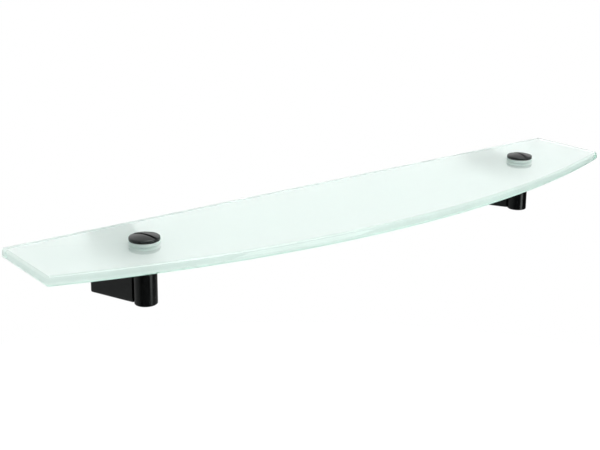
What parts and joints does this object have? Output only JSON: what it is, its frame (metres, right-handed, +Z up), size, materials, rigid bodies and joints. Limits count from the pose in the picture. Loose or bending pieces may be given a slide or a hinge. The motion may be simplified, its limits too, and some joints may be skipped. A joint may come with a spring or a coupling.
{
  "type": "wall shelf",
  "caption": "Bow-fronted satin glass wall shelf, clamped by domed coin-slot screws on round black posts whose flared hollow arms lock over hidden wall blocks.",
  "frame": {"origin": "middle of the pattern of wall screw holes, in the plane of the wall", "axes": "+X along the wall to the right as seen from the room, +Y into the wall, +Z up"},
  "size_m": [0.6, 0.1289, 0.059],
  "materials": {
    "satin_glass": "toughened float glass, satin-etched below and polished above, with a pale green edge",
    "black_coat": "satin black powder coat on cast zinc",
    "clear_washer": "translucent soft moulded plastic",
    "zinc_screw": "bright zinc-plated steel",
    "cast_block": "plain cast zinc, tumbled",
    "black_screw": "black oxide steel"
  },
  "bodies": {
    "shelf": {"glass_shelf": "satin_glass", "left_hole_sleeve": "clear_washer", "left_lower_washer": "clear_washer", "left_post": "black_coat", "left_arm": "black_coat", "left_post_screw": "zinc_screw", "left_lock_washer": "zinc_screw", "left_wall_block": "cast_block", "left_set_screw": "black_screw", "right_hole_sleeve": "clear_washer", "right_lower_washer": "clear_washer", "right_post": "black_coat", "right_arm": "black_coat", "right_post_screw": "zinc_screw", "right_lock_washer": "zinc_screw", "right_wall_block": "cast_block", "right_set_screw": "black_screw"},
    "left_lift": {"left_upper_washer": "clear_washer"},
    "left_cap": {"left_cap_screw": "black_coat"},
    "right_lift": {"right_upper_washer": "clear_washer"},
    "right_cap": {"right_cap_screw": "black_coat"}
  },
  "joints": [
    {"name": "left_cap_lift", "type": "slide", "parent": "shelf", "child": "left_lift", "axis": [0, 0, 1], "range_m": [0, 0.012]},
    {"name": "left_cap_turn", "type": "hinge", "parent": "left_lift", "child": "left_cap", "pos_m": [-0.209, -0.0545, 0.03505], "axis": [0, 0, 1], "range_deg": [0, 4320]},
    {"name": "right_cap_lift", "type": "slide", "parent": "shelf", "child": "right_lift", "axis": [0, 0, 1], "range_m": [0, 0.012]},
    {"name": "right_cap_turn", "type": "hinge", "parent": "right_lift", "child": "right_cap", "pos_m": [0.209, -0.0545, 0.03505], "axis": [0, 0, 1], "range_deg": [0, 4320]}
  ],
  "couplings": [
    {"joint": "left_cap_lift", "follows": "left_cap_turn", "m_per_rad": 0.00015915},
    {"joint": "right_cap_lift", "follows": "right_cap_turn", "m_per_rad": 0.00015915}
  ]
}
